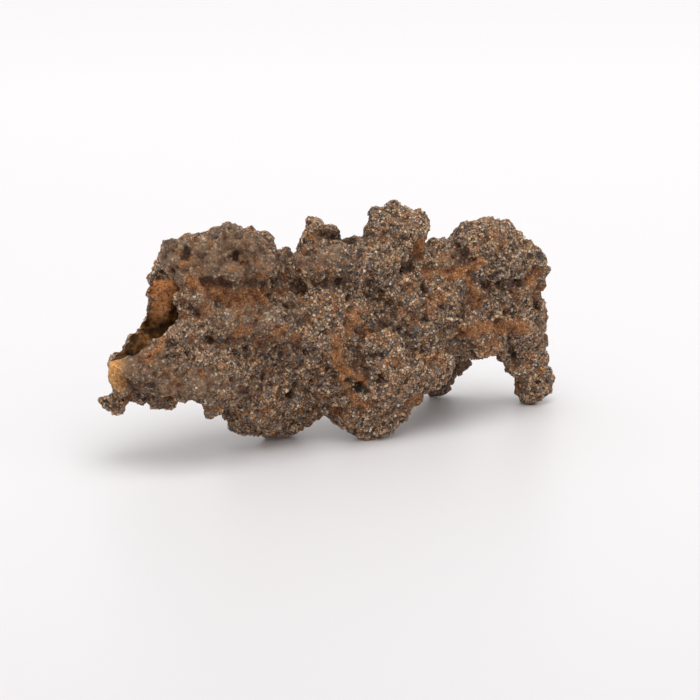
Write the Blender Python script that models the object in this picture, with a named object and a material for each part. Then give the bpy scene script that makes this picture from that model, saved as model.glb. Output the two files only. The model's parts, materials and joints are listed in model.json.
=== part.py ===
"""Fulgurite: a short length of glassy tube that lightning fused out of loose sand, lying on its side.

It is one solid. A crooked hollow tube runs along X, open at the left end and pinched at the right. Sand fused
to its outside stands up as knobs, bulges, fins and feet, and the feet are worn flat where the piece rests.
"""

import bmesh
import bpy
from mathutils import Matrix, Vector, noise

MM = 0.001

# Driving sizes, in millimetres.
JOIN_GRAIN = 0.55
SKIN_GRAIN = 0.42
LUMP_SPACING = 3.4
LUMP_HEIGHT = 0.75
PIT_SPACING = 1.5
PIT_HEIGHT = 0.30
FACES_WANTED = 7600
FOOT_WEAR = 0.0
FOOT_BLOCK = 12.0

GRAIN_COLOUR = (0.145, 0.105, 0.075, 1.0)


def clear_scene():
    for item in list(bpy.data.objects):
        bpy.data.objects.remove(item, do_unlink=True)


def link(item):
    bpy.context.scene.collection.objects.link(item)
    return item


def lump(centre, half, turn=(0.0, 0.0, 0.0)):
    """An egg of sand: its centre, its half sizes and its turns about X, Y and Z in radians."""
    shape = bmesh.new()
    bmesh.ops.create_icosphere(shape, subdivisions=3, radius=1.0)
    place = Matrix.Translation(Vector(centre))
    for axis, angle in zip("XYZ", turn):
        place = place @ Matrix.Rotation(angle, 4, axis)
    stretch = Matrix.Diagonal((half[0], half[1], half[2], 1.0))
    bmesh.ops.transform(shape, matrix=place @ stretch, verts=shape.verts)
    mesh = bpy.data.meshes.new("lump")
    shape.to_mesh(mesh)
    shape.free()
    return link(bpy.data.objects.new("lump", mesh))


def ridge(stations):
    """A rounded ridge through stations of x, y, z and radius."""
    curve = bpy.data.curves.new("ridge", "CURVE")
    curve.dimensions = "3D"
    curve.bevel_depth = 1.0
    curve.bevel_resolution = 3
    curve.resolution_u = 6
    curve.use_fill_caps = True
    line = curve.splines.new("BEZIER")
    line.bezier_points.add(len(stations) - 1)
    for point, (x, y, z, radius) in zip(line.bezier_points, stations):
        point.co = (x, y, z)
        point.radius = radius
        point.handle_left_type = "AUTO"
        point.handle_right_type = "AUTO"
    item = link(bpy.data.objects.new("ridge", curve))
    return item


def tube_body():
    lump((-14.0, 0.0, 15.0), (9.5, 5.4, 7.0))
    lump((-3.0, 0.3, 12.8), (11.0, 5.6, 7.2))
    lump((9.0, 0.3, 13.4), (10.0, 5.4, 6.8))
    lump((19.5, 0.3, 13.2), (6.4, 4.8, 5.6))
    ridge([(-21.0, 0.0, 15.6, 5.0), (-8.0, 0.0, 14.0, 5.0), (6.0, 0.3, 12.6, 4.8), (24.0, 0.4, 12.6, 3.6)])


def mouth_rim():
    """The broken left end: front wall, rear wall and the cap that bridges them."""
    lump((-18.2, -3.8, 15.6), (2.4, 1.6, 6.0))
    lump((-19.2, 3.8, 17.0), (1.6, 1.5, 4.4))
    lump((-18.2, 0.0, 22.2), (3.2, 3.8, 2.4))
    lump((-18.8, -0.6, 23.4), (1.8, 2.0, 1.7))
    lump((-16.2, -1.2, 23.6), (2.0, 2.4, 1.6))


def mouth_spout():
    """The lower half of the tube, which runs on to the left as an open gutter."""
    lump((-22.4, -0.2, 10.4), (4.8, 4.6, 2.4))
    lump((-21.4, -3.6, 11.6), (4.4, 1.8, 3.2), (0.0, -0.20, 0.0))
    lump((-25.8, -0.6, 10.8), (1.6, 3.0, 2.2))


def mouth_lip():
    """The raised edge of the gutter, which runs round its left end like the bow of a boat."""
    ridge([(-19.8, -4.1, 16.2, 1.5), (-22.8, -4.2, 13.8, 1.3), (-25.4, -3.6, 12.6, 1.2), (-26.6, -1.4, 11.8, 1.1)])
    ridge([(-26.6, -1.4, 11.8, 1.1), (-25.8, 1.4, 11.2, 1.0), (-23.2, 3.7, 12.6, 1.0), (-20.0, 4.0, 14.6, 1.3)])


def left_tip():
    ridge([(-26.2, 1.6, 7.0, 1.4), (-24.0, 1.4, 8.0, 1.4), (-21.2, 1.4, 7.6, 1.5), (-17.5, 1.0, 8.0, 1.7)])
    lump((-26.4, 1.2, 6.8), (1.6, 1.6, 1.5))
    lump((-20.0, 1.4, 6.6), (1.3, 1.3, 1.1))


def upper_left_bulge():
    lump((-13.6, -2.6, 22.0), (4.4, 4.4, 4.0))
    lump((-13.8, -1.6, 24.6), (1.6, 1.8, 1.5))
    lump((-10.4, -2.0, 21.6), (2.9, 3.6, 3.0))
    lump((-10.7, -1.6, 24.2), (1.1, 1.1, 1.0))
    lump((-8.6, -1.4, 22.6), (0.9, 1.1, 0.9))


def rear_knob():
    lump((0.2, 4.0, 22.0), (1.4, 1.7, 1.9))
    ridge([(0.5, 4.0, 21.0, 1.7), (3.0, 4.0, 20.7, 1.4), (6.0, 3.6, 20.4, 1.6)])
    lump((-1.6, 3.6, 20.4), (1.6, 1.8, 1.6))
    lump((1.6, 1.4, 18.6), (4.6, 3.4, 2.2))


def front_shoulder():
    """The broad shoulder across the middle, in front of the rear knob."""
    ridge([(-5.5, -2.2, 18.9, 2.6), (-2.5, -3.0, 20.0, 2.4), (1.5, -2.6, 19.6, 2.3), (5.5, -1.6, 19.0, 2.2)])
    lump((-6.2, -0.2, 19.2), (2.6, 3.0, 2.5))
    lump((-2.4, -2.8, 14.6), (5.0, 3.4, 4.0))


def crown():
    """The tall knob on top, with a corner that leans to the right."""
    lump((7.6, 0.0, 21.4), (3.7, 3.2, 3.8))
    lump((6.0, 0.0, 22.8), (1.5, 1.9, 2.0))
    lump((7.9, 0.0, 24.2), (1.7, 1.9, 1.6))
    lump((10.8, 0.0, 23.3), (1.7, 1.9, 1.8))


def right_bulge():
    lump((18.6, -1.0, 18.6), (4.5, 4.8, 4.3))
    lump((20.4, -1.0, 19.0), (3.0, 3.6, 3.6))
    lump((22.6, -1.0, 16.8), (3.2, 4.0, 3.2), (0.0, 0.5, 0.0))
    lump((13.6, -0.8, 17.4), (3.0, 3.6, 2.8))


def right_end():
    lump((24.9, 0.4, 11.4), (2.1, 4.0, 5.2))
    lump((26.3, 0.4, 14.8), (1.1, 2.4, 1.1))


def leg():
    ridge([(23.8, 0.6, 11.0, 3.0), (24.7, 0.8, 7.6, 2.8), (25.5, 1.0, 4.2, 2.4), (26.7, 1.4, 2.4, 1.8)])
    lump((26.7, 1.3, 2.8), (2.2, 2.2, 2.1))
    lump((21.8, 0.2, 9.0), (2.2, 2.8, 2.4))
    lump((25.6, 0.8, 7.6), (1.9, 2.2, 2.4))
    lump((25.8, 1.4, 1.0), (1.7, 1.7, 1.6))


def belly():
    """The sagging middle, which narrows down to the central foot."""
    lump((3.2, -1.8, 8.8), (6.8, 4.8, 6.6))
    lump((4.0, -2.6, 4.0), (3.9, 3.4, 4.0))
    lump((3.6, -2.4, 1.6), (2.5, 2.4, 1.9))
    lump((9.6, -1.6, 8.2), (4.8, 4.2, 4.2), (0.0, -0.6, 0.0))
    lump((8.2, -1.4, 5.2), (2.6, 3.0, 2.6))
    lump((0.4, -2.2, 3.8), (2.7, 2.8, 2.4))
    lump((-1.8, -0.6, 3.9), (2.0, 2.6, 1.7))
    lump((17.6, -0.6, 9.4), (3.8, 3.8, 2.6))
    lump((-1.6, -0.4, 6.4), (3.0, 3.6, 3.4))


def rear_flange():
    ridge([(6.0, 4.0, 7.0, 2.2), (12.0, 5.6, 5.0, 2.0), (16.5, 7.6, 2.6, 1.8), (18.8, 8.8, 0.2, 1.8)])
    ridge([(10.0, 4.6, 8.6, 2.2), (16.0, 5.2, 6.8, 1.9), (20.6, 5.8, 5.2, 1.4)])
    ridge([(14.0, 5.4, 5.8, 1.7), (18.4, 6.6, 3.8, 1.5), (20.2, 7.0, 3.0, 1.2)])


def lower_left_lobe():
    lump((-8.4, 0.2, 7.4), (5.2, 4.4, 5.2))
    lump((-5.6, 1.8, 2.6), (3.2, 2.8, 3.2))
    lump((-9.6, 1.8, 3.6), (3.0, 2.8, 2.8))
    lump((-3.6, 1.6, 3.4), (2.3, 2.4, 2.6))
    lump((-6.0, 2.2, 1.0), (1.8, 1.8, 1.5))


def left_front_bulge():
    lump((-18.0, -4.2, 11.4), (4.6, 2.6, 4.4), (0.0, 0.2, 0.0))
    lump((-15.0, -2.6, 9.6), (4.0, 3.0, 3.4))
    lump((-16.6, -3.4, 6.1), (1.1, 1.1, 1.1))


def front_shelf():
    """A low shelf below the left bulge, and the swelling it runs into near the middle."""
    ridge([(-19.4, -4.4, 17.2, 1.4), (-15.6, -5.0, 16.8, 1.5), (-11.6, -5.0, 16.0, 1.5), (-8.2, -4.8, 16.4, 1.8)])
    lump((-4.6, -4.6, 16.4), (2.4, 1.8, 1.8))


def middle_ribs():
    """Thin ribs of smoother glass that wander down the middle to the central foot."""
    ridge([(-0.8, -5.6, 15.0, 0.9), (-2.6, -5.9, 12.0, 0.9), (-2.2, -5.8, 9.6, 0.8), (0.4, -5.6, 7.8, 0.6)])
    ridge([(-2.2, -5.8, 9.6, 0.8), (-1.4, -5.4, 7.4, 0.6), (-0.6, -4.8, 5.4, 0.6)])


def right_shoulder():
    """The low swelling between the belly and the leg."""
    lump((12.6, -3.4, 12.6), (5.0, 2.4, 3.0))
    ridge([(14.0, -3.6, 10.6, 1.4), (18.4, -3.6, 11.0, 1.3), (22.4, -3.0, 10.4, 1.5)])


def rear_side():
    """Bulges, a wandering fin and short spurs on the side turned away."""
    lump((-12.6, 3.8, 13.4), (4.2, 2.8, 4.4), (0.0, 0.3, 0.1))
    lump((-5.6, 4.4, 9.4), (3.6, 2.6, 3.4))
    lump((1.6, 4.2, 13.6), (4.4, 2.6, 3.6), (0.0, -0.3, 0.0))
    lump((8.6, 4.4, 10.4), (3.4, 2.4, 2.8))
    lump((16.6, 4.0, 13.0), (4.2, 2.6, 3.8))
    ridge([(-15.6, 4.0, 18.6, 1.6), (-11.0, 5.6, 19.0, 1.3), (-7.4, 6.2, 17.2, 1.2), (-3.0, 5.6, 17.8, 1.5)])
    ridge([(7.0, 4.8, 18.0, 1.7), (11.6, 6.4, 17.0, 1.2), (15.6, 6.2, 18.0, 1.3), (21.0, 4.2, 16.0, 1.7)])
    ridge([(-9.6, 5.2, 12.4, 1.3), (-5.0, 6.6, 13.2, 1.0), (-0.6, 6.0, 10.8, 1.3)])
    ridge([(-16.4, 4.6, 9.6, 1.2), (-14.2, 5.8, 7.4, 1.0)])
    lump((21.8, 3.8, 10.6), (1.8, 1.7, 2.4))
    lump((4.6, 6.2, 16.2), (1.3, 1.2, 1.2))


def grooves():
    """Long shallow hollows that part the knobs and bulges from the tube."""
    ridge([(-19.6, -6.6, 19.0, 1.2), (-14.6, -7.6, 18.6, 1.6), (-9.6, -7.2, 18.8, 1.6), (-6.4, -5.4, 20.6, 1.3)])
    ridge([(-6.8, -4.6, 22.6, 1.3), (-6.2, -5.4, 20.0, 1.3), (-5.4, -6.6, 17.6, 0.9)])
    ridge([(-20.6, -7.4, 14.8, 1.2), (-15.6, -7.2, 14.0, 1.4), (-11.2, -6.9, 13.6, 1.2)])
    ridge([(6.6, -5.6, 19.2, 1.3), (11.0, -5.8, 18.0, 1.4), (15.6, -6.9, 17.6, 1.3)])
    ridge([(12.6, -4.6, 21.2, 1.2), (13.6, -5.4, 19.4, 1.3), (14.6, -6.4, 17.6, 1.2)])
    ridge([(17.6, -6.9, 15.2, 1.3), (21.0, -6.1, 15.0, 1.3), (26.6, -4.6, 15.6, 1.2)])
    ridge([(0.6, -7.4, 10.2, 1.2), (1.6, -7.4, 7.8, 1.3)])
    ridge([(-12.8, -5.6, 8.2, 1.3), (-10.8, -4.9, 6.2, 0.9)])
    ridge([(21.0, -4.6, 8.8, 0.8), (21.6, -3.6, 7.2, 0.8)])
    ridge([(-10.6, 7.4, 16.2, 1.3), (-5.6, 7.6, 15.4, 1.2), (0.4, 7.2, 16.6, 1.3)])
    ridge([(8.6, 7.4, 14.6, 1.4), (13.4, 7.6, 15.4, 1.2)])
    ridge([(-2.2, 7.4, 12.4, 1.2), (2.2, 7.8, 10.4, 1.4), (5.6, 7.0, 8.0, 1.2)])


def bore():
    """The crooked hollow that the stroke left, wide at the left mouth and narrow at the right one."""
    stations = [
        (-36.0, 0.2, 18.6, 4.4),
        (-27.0, 0.2, 16.8, 3.9),
        (-20.0, 0.1, 15.8, 3.9),
        (-12.0, 0.2, 14.8, 3.3),
        (-2.0, 0.4, 13.6, 2.8),
        (8.0, 0.6, 13.0, 2.5),
        (18.0, 0.6, 13.4, 2.2),
        (24.0, 0.4, 14.2, 1.9),
        (32.0, 0.2, 14.8, 1.9),
    ]
    ridge(stations)
    lump((-20.6, 0.0, 16.6), (3.2, 3.4, 4.6))
    lump((-23.0, 0.1, 13.4), (3.0, 2.9, 2.5))


def evaluated_copy(item, name):
    """A plain mesh object with the shape that item has after its modifiers."""
    bpy.context.view_layer.update()
    mesh = bpy.data.meshes.new_from_object(item.evaluated_get(bpy.context.evaluated_depsgraph_get()))
    mesh.transform(item.matrix_world)
    return link(bpy.data.objects.new(name, mesh))


def merged(items, name):
    """All the given shapes as one mesh, still overlapping."""
    whole = bmesh.new()
    for item in items:
        copy = evaluated_copy(item, "copy")
        whole.from_mesh(copy.data)
        bpy.data.objects.remove(copy, do_unlink=True)
        bpy.data.objects.remove(item, do_unlink=True)
    mesh = bpy.data.meshes.new(name)
    whole.to_mesh(mesh)
    whole.free()
    return link(bpy.data.objects.new(name, mesh))


def fused(item, grain, name):
    """Melts overlapping shapes into one skin."""
    melt = item.modifiers.new("melt", "REMESH")
    melt.mode = "VOXEL"
    melt.voxel_size = grain
    melt.adaptivity = 0.0
    result = evaluated_copy(item, name)
    bpy.data.objects.remove(item, do_unlink=True)
    return result


def softened(item, times, name):
    soft = item.modifiers.new("soft", "SMOOTH")
    soft.factor = 0.5
    soft.iterations = times
    result = evaluated_copy(item, name)
    bpy.data.objects.remove(item, do_unlink=True)
    return result


def roughened(item, spacing, height, seed):
    """Pushes the skin in and out along its normals by a wandering field."""
    start = Vector((seed * 7.3, seed * 3.1, seed * 5.7))
    normals = [vertex.normal.copy() for vertex in item.data.vertices]
    for vertex, normal in zip(item.data.vertices, normals):
        push = noise.fractal(vertex.co / spacing + start, 0.9, 2.1, 3)
        vertex.co += normal * push * height
    return item


def cut_away(item, cutter, name):
    cutter.display_type = "WIRE"
    cutter.hide_render = True
    cut = item.modifiers.new("cut", "BOOLEAN")
    cut.operation = "DIFFERENCE"
    cut.solver = "EXACT"
    cut.object = cutter
    result = evaluated_copy(item, name)
    bpy.data.objects.remove(item, do_unlink=True)
    bpy.data.objects.remove(cutter, do_unlink=True)
    return result


def thinned(item, faces, name):
    thin = item.modifiers.new("thin", "DECIMATE")
    thin.ratio = min(1.0, faces / triangle_count(item))
    result = evaluated_copy(item, name)
    bpy.data.objects.remove(item, do_unlink=True)
    return result


def triangle_count(item):
    return sum(len(face.vertices) - 2 for face in item.data.polygons)


def block(low, high):
    shape = bmesh.new()
    bmesh.ops.create_cube(shape, size=1.0)
    centre = (Vector(low) + Vector(high)) / 2
    size = Vector(high) - Vector(low)
    bmesh.ops.transform(
        shape,
        matrix=Matrix.Translation(centre) @ Matrix.Diagonal((size.x, size.y, size.z, 1.0)),
        verts=shape.verts,
    )
    mesh = bpy.data.meshes.new("block")
    shape.to_mesh(mesh)
    shape.free()
    return link(bpy.data.objects.new("block", mesh))


def only_largest_piece(item):
    """Drops specks and sealed bubbles that the melting left."""
    shape = bmesh.new()
    shape.from_mesh(item.data)
    left = set(shape.verts)
    islands = []
    while left:
        first = left.pop()
        island = {first}
        edge = [first]
        while edge:
            here = edge.pop()
            for link_edge in here.link_edges:
                there = link_edge.other_vert(here)
                if there in left:
                    left.remove(there)
                    island.add(there)
                    edge.append(there)
        islands.append(island)
    islands.sort(key=len)
    for island in islands[:-1]:
        bmesh.ops.delete(shape, geom=list(island), context="VERTS")
    shape.to_mesh(item.data)
    shape.free()
    return item


def centred(item):
    """Moves the middle of the footprint to the origin."""
    xs = [vertex.co.x for vertex in item.data.vertices]
    ys = [vertex.co.y for vertex in item.data.vertices]
    middle = Vector(((min(xs) + max(xs)) / 2, (min(ys) + max(ys)) / 2, 0.0))
    item.data.transform(Matrix.Translation(-middle))
    return item


def sand_glass():
    material = bpy.data.materials.new("fused_sand")
    material.use_nodes = True
    shader = material.node_tree.nodes["Principled BSDF"]
    shader.inputs["Base Color"].default_value = GRAIN_COLOUR
    shader.inputs["Roughness"].default_value = 0.85
    return material


def fulgurite():
    tube_body()
    mouth_rim()
    mouth_spout()
    mouth_lip()
    left_tip()
    upper_left_bulge()
    rear_knob()
    front_shoulder()
    crown()
    right_bulge()
    right_end()
    leg()
    belly()
    rear_flange()
    lower_left_lobe()
    left_front_bulge()
    front_shelf()
    middle_ribs()
    right_shoulder()
    rear_side()
    body = merged(list(bpy.data.objects), "lumps")
    bore()
    hollow = merged([item for item in bpy.data.objects if item is not body], "bore")
    hollow = fused(hollow, JOIN_GRAIN, "bore")
    grooves()
    dents = merged([item for item in bpy.data.objects if item not in (body, hollow)], "dents")
    body = fused(body, JOIN_GRAIN, "melted")
    body = softened(body, 3, "softened")
    body = cut_away(body, fused(dents, JOIN_GRAIN, "dents"), "grooved")
    body = fused(body, JOIN_GRAIN, "rejoined")
    body = softened(body, 2, "softened")
    body = roughened(body, LUMP_SPACING, LUMP_HEIGHT, 1)
    body = cut_away(body, hollow, "hollow")
    body = roughened(body, PIT_SPACING, PIT_HEIGHT, 2)
    body = fused(body, SKIN_GRAIN, "skin")
    body = only_largest_piece(body)
    body = thinned(body, FACES_WANTED, "thin")
    body = cut_away(body, block((-60, -60, -FOOT_BLOCK), (60, 60, FOOT_WEAR)), "worn")
    body = only_largest_piece(body)
    body = centred(body)
    body.name = "fulgurite"
    body.data.name = "fulgurite"
    body.data.transform(Matrix.Scale(MM, 4))
    body.data.materials.clear()
    body.data.materials.append(sand_glass())


clear_scene()
fulgurite()
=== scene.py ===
"""A fulgurite lying on a pale surface: a crust of fused sand grains round a crooked glassy hollow."""

import json
import math
import random

import bmesh
import bpy
import numpy as np
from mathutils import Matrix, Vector, noise
from mathutils.bvhtree import BVHTree

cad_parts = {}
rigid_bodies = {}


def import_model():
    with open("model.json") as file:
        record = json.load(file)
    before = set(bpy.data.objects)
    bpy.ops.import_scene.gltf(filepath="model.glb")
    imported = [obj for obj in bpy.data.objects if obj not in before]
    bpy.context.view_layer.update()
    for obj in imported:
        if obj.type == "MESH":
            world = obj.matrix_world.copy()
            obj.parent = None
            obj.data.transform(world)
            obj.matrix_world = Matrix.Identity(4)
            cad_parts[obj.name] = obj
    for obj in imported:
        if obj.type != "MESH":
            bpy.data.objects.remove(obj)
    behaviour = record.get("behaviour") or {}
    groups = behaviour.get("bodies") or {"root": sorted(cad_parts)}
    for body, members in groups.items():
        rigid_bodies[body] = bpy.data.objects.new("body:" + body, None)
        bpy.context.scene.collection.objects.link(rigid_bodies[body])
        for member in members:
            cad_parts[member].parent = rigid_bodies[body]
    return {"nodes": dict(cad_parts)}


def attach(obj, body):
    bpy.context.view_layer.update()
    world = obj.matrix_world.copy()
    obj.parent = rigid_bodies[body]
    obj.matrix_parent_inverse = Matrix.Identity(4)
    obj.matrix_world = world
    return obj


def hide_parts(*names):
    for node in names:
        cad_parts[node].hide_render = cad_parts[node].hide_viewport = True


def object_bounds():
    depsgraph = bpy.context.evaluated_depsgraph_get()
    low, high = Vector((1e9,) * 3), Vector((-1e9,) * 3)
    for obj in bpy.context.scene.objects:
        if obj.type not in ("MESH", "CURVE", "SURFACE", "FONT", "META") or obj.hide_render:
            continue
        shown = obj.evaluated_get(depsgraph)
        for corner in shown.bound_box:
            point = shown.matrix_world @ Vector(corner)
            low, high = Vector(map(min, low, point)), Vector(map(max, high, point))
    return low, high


noise.seed_set(3)
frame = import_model()
CAD_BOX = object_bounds()

MM = 0.001

# The camera: the point it looks at in millimetres, its turn and rise in degrees, how far back it stands, its lens
# and sensor in millimetres, and the dots across its square view.
AIM = Vector((0.66, -2.93, 10.02))
TURN, RISE, AWAY = -28.0, 15.0, 385.0
LENS, SENSOR, VIEW_DOTS = 180.0, 36.0, 700

# The way across the table from the camera to the backdrop, and the light in the studio, in metres and watts.
FAR = (0.47, 0.88, 0.0)
SKY_STRENGTH = 1.06
TOP_BOX_PLACE, TOP_BOX_SIZE, TOP_BOX_POWER = (-0.05, -0.22, 0.75), 0.6, 3.3
TABLE_HALF = 2.5

# The skin under the grains, in millimetres: how fine each remesh is and how many times it is eased, then the
# spacing, radius and height or depth of each kind of relief.
SKIN_GRAIN, SKIN_EASING = 0.24, 6
BODY_GRAIN, BODY_EASING, BODY_FACES = 0.20, 1, 186000
CLOD_SPACING, CLOD_HEIGHT = 3.0, 1.3
NODULE_SPACING, NODULE_HEIGHT = 1.35, 0.62
CRUMB_SPACING, CRUMB_HEIGHT = 0.60, 0.36
SWIRL_SPACING, SWIRL_HEIGHT = 0.7, 0.34
PORE_SPACING, PORE_RADIUS, PORE_DEPTH = 1.5, 0.30, 1.5
PINHOLE_SPACING, PINHOLE_RADIUS, PINHOLE_DEPTH = 1.05, 0.20, 0.8
CLAY_PORE_SPACING, CLAY_PORE_RADIUS, CLAY_PORE_DEPTH = 0.9, 0.17, 0.35
BUBBLE_SPACING, BUBBLE_DEPTH = 0.8, 0.30
# A pit or groove of strength 1 is this deep, and a pit narrower than the next number has steep walls.
PIT_DEPTH, STEEP_BELOW = 1.1, 0.5
# Clay plumps the nodules and levels the crumbs by this share.
CLAY_SWELL = 0.15
# How far the relief may pass the solid's box, and how far every foot stays above the table.
BOX_ROOM, FLOOR_GAP = 0.25, 0.02
# How many rounds of easing give the smooth skin that hollows are measured from.
HOLLOW_EASING = 28

# The sand, in millimetres. Dune sand is 0.2 to 0.4 mm across.
GRAIN_SPACING, GRAIN_SIZE = 0.24, 0.37
GRAIN_SINK, GRAIN_BED = 0.09, 0.08
GRAIN_SHAPES, GRAIN_KNEES = 9, 8
# Where a grain's luck turns it from slate to umber, from umber to tan and from tan to pale.
KIND_EDGES = (0.24, 0.54, 0.90)

# The hollow: x, y, z and radius at stations along it, in millimetres.
HOLLOW = [
    (-28.0, -1.4, 16.8, 3.9),
    (-20.7, -1.5, 15.8, 3.9),
    (-12.7, -1.4, 14.8, 3.3),
    (-2.7, -1.2, 13.6, 2.8),
    (7.3, -1.0, 13.0, 2.5),
    (17.3, -1.0, 13.4, 2.2),
    (23.3, -1.2, 14.2, 1.9),
    (31.3, -1.4, 14.8, 1.9),
]
MOUTH_SCOOP = ((-23.7, -1.5, 13.6), (3.4, 3.2, 2.9))

# Marks on the front are placed as the camera sees them: dots across and down its square view, then radius in
# millimetres and strength. The deepest pit is the rusty hole in the left shoulder.
PITS = [
    (221, 278, 0.3, 0.8), (249, 277, 0.3, 0.8), (212, 281, 0.35, 0.8), (164, 296, 0.22, 0.5), (199, 314, 0.6, 0.5),
    (187, 251, 0.48, 1.5), (185, 256, 0.45, 1.2), (192, 245, 0.25, 0.5), (178, 266, 0.3, 0.7), (212, 340, 0.45, 0.9),
    (209, 337, 0.3, 0.6), (168, 358, 0.25, 0.7), (243, 253, 0.6, 0.25), (262, 251, 0.4, 0.4), (246, 262, 0.4, 0.35),
    (278, 262, 0.6, 0.6), (279, 272, 0.6, 0.6), (290, 263, 0.7, 0.4), (245, 392, 0.55, 1.0), (241, 386, 0.4, 0.5),
    (291, 395, 0.45, 1.2), (232, 380, 0.4, 0.5), (340, 284, 0.45, 0.7), (343, 283, 0.3, 0.4), (306, 254, 0.3, 0.5),
    (318, 254, 0.25, 0.5), (313, 260, 0.25, 0.5), (319, 236, 0.6, 0.5), (328, 238, 0.5, 0.5), (361, 387, 0.55, 1.3),
    (366, 391, 0.4, 0.6), (357, 366, 0.55, 0.6), (363, 360, 0.5, 0.4), (368, 371, 0.55, 0.7), (381, 377, 0.4, 0.6),
    (348, 379, 0.35, 0.4), (405, 270, 0.5, 0.6), (415, 247, 0.5, 0.5), (412, 268, 0.4, 0.4), (424, 289, 0.45, 0.8),
    (421, 284, 0.35, 0.5), (463, 252, 0.6, 0.7), (461, 260, 0.5, 0.6), (469, 273, 0.35, 0.5), (452, 245, 0.3, 0.4),
    (500, 284, 0.6, 0.5), (485, 287, 0.35, 0.5), (441, 306, 0.35, 0.5), (538, 319, 0.4, 0.6), (538, 275, 0.55, 0.5),
    (512, 352, 0.45, 1.0), (513, 358, 0.4, 0.8), (441, 375, 0.25, 0.4), (427, 361, 0.25, 0.4), (395, 330, 0.35, 0.4),
    (385, 323, 0.6, 0.5), (374, 327, 0.6, 0.45), (388, 304, 0.5, 0.5), (398, 311, 0.5, 0.4), (412, 314, 0.6, 0.4),
    (228, 408, 0.3, 0.5), (300, 352, 0.6, 0.4), (283, 350, 0.6, 0.35), (309, 354, 0.7, 0.5), (257, 352, 0.6, 0.4),
    (267, 343, 0.5, 0.4), (330, 283, 0.5, 0.4), (303, 290, 0.8, 0.5), (282, 292, 0.6, 0.4), (372, 287, 0.5, 0.35),
    (392, 286, 0.5, 0.35), (210, 274, 0.5, 0.3), (195, 311, 0.7, 0.45), (173, 344, 0.5, 0.4), (170, 391, 0.35, 0.5),
    (214, 396, 0.4, 0.5), (156, 375, 0.5, 0.3), (420, 225, 0.3, 0.5), (408, 213, 0.3, 0.3), (470, 340, 0.4, 0.4),
    (384, 214, 0.25, 0.3), (545, 385, 0.3, 0.3), (335, 412, 0.5, 0.6),
]
# Lumps, and the corners of the outline.
LUMPS = [
    (172, 247, 0.9, 0.35), (168, 265, 1.0, 0.35), (184, 264, 0.45, 0.3), (152, 306, 0.45, 0.35), (148, 292, 0.5, 0.3),
    (155, 268, 0.5, 0.3), (228, 226, 0.8, 0.3), (253, 228, 0.6, 0.35), (262, 266, 0.9, 0.4), (270, 259, 0.5, 0.3),
    (215, 265, 1.2, 0.25), (217, 293, 0.6, 0.5), (223, 300, 0.7, 0.4), (200, 250, 0.9, 0.2), (290, 311, 0.85, 0.45),
    (303, 310, 0.7, 0.3), (268, 305, 0.8, 0.3), (240, 314, 0.9, 0.3), (212, 308, 0.8, 0.3), (180, 328, 0.8, 0.3),
    (188, 350, 0.9, 0.3), (176, 375, 1.0, 0.3), (200, 378, 0.8, 0.25), (150, 365, 0.7, 0.25), (162, 383, 0.7, 0.3),
    (312, 248, 0.5, 0.3), (330, 250, 1.3, 0.25), (345, 257, 0.5, 0.2), (318, 222, 0.9, 0.2), (328, 222, 0.35, 0.3),
    (372, 245, 0.6, 0.3), (421, 250, 0.5, 0.4), (475, 225, 0.7, 0.25), (497, 220, 0.5, 0.3), (522, 251, 0.35, 0.3),
    (487, 284, 0.28, 0.3), (420, 323, 0.32, 0.3), (512, 320, 0.22, 0.2), (267, 377, 0.25, 0.25),
    (274, 388, 0.28, 0.25), (392, 338, 0.35, 0.3), (404, 389, 0.25, 0.2), (383, 388, 0.3, 0.2), (435, 329, 1.1, 0.3),
    (400, 350, 1.4, 0.25), (500, 300, 0.9, 0.2), (530, 303, 0.8, 0.25), (543, 330, 0.7, 0.25), (210, 412, 0.5, 0.3),
    (534, 393, 1.0, 0.25), (235, 423, 0.5, 0.3), (280, 430, 0.6, 0.3), (350, 415, 0.9, 0.2), (112, 372, 0.8, 0.3),
    (163, 238, 0.7, 0.3), (371, 212, 0.7, 0.7), (415, 209, 0.6, 0.3), (311, 221, 0.8, 0.9), (428, 243, 0.6, 0.8),
    (546, 354, 1.2, 1.2), (522, 236, 0.7, 0.5), (500, 356, 0.7, 0.7), (187, 402, 0.8, 0.5), (185, 276, 0.7, 0.8),
    (184, 286, 0.6, 0.7), (183, 296, 0.5, 0.5), (289, 251, 0.7, 0.5), (460, 223, 0.8, 0.25), (343, 236, 0.6, 0.45),
    (350, 235, 0.6, 0.4), (358, 235, 0.6, 0.4), (99, 401, 0.7, 0.45), (557, 372, 0.7, 0.25), (558, 388, 0.7, 0.2),
]
# Where the outline is worn back.
TRIMS = [
    (429, 206, 1.2, 0.5), (432, 222, 0.8, 0.15), (487, 214, 1.0, 0.35), (145, 292, 1.0, 0.45), (143, 306, 1.2, 0.7),
    (133, 325, 1.2, 0.45), (115, 345, 1.2, 0.55), (155, 262, 1.2, 0.9), (551, 308, 1.4, 0.65), (545, 270, 0.6, 1.3),
    (541, 268, 0.45, 0.7), (225, 425, 0.9, 0.4), (322, 413, 0.8, 1.7), (103, 368, 1.0, 0.6), (103, 378, 0.8, 0.3),
    (147, 268, 1.0, 0.2), (350, 434, 1.0, 0.6), (400, 434, 1.0, 0.6), (452, 390, 0.8, 0.5), (478, 362, 0.7, 0.6),
    (537, 243, 0.9, 0.5), (345, 435, 0.7, 0.5), (432, 214, 0.8, 0.3), (342, 228, 0.9, 0.15), (549, 316, 0.9, 0.4),
    (226, 428, 0.9, 0.3), (474, 360, 0.5, 0.5),
]
# Where the feet curve up from the floor.
LIFTS = [
    (240, 441, 1.3, 0.6), (260, 444, 1.3, 0.7), (280, 444, 1.3, 0.6), (300, 440, 1.0, 0.4), (340, 438, 1.0, 0.4),
    (434, 396, 1.0, 0.6), (444, 394, 1.0, 0.6),
]
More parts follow.
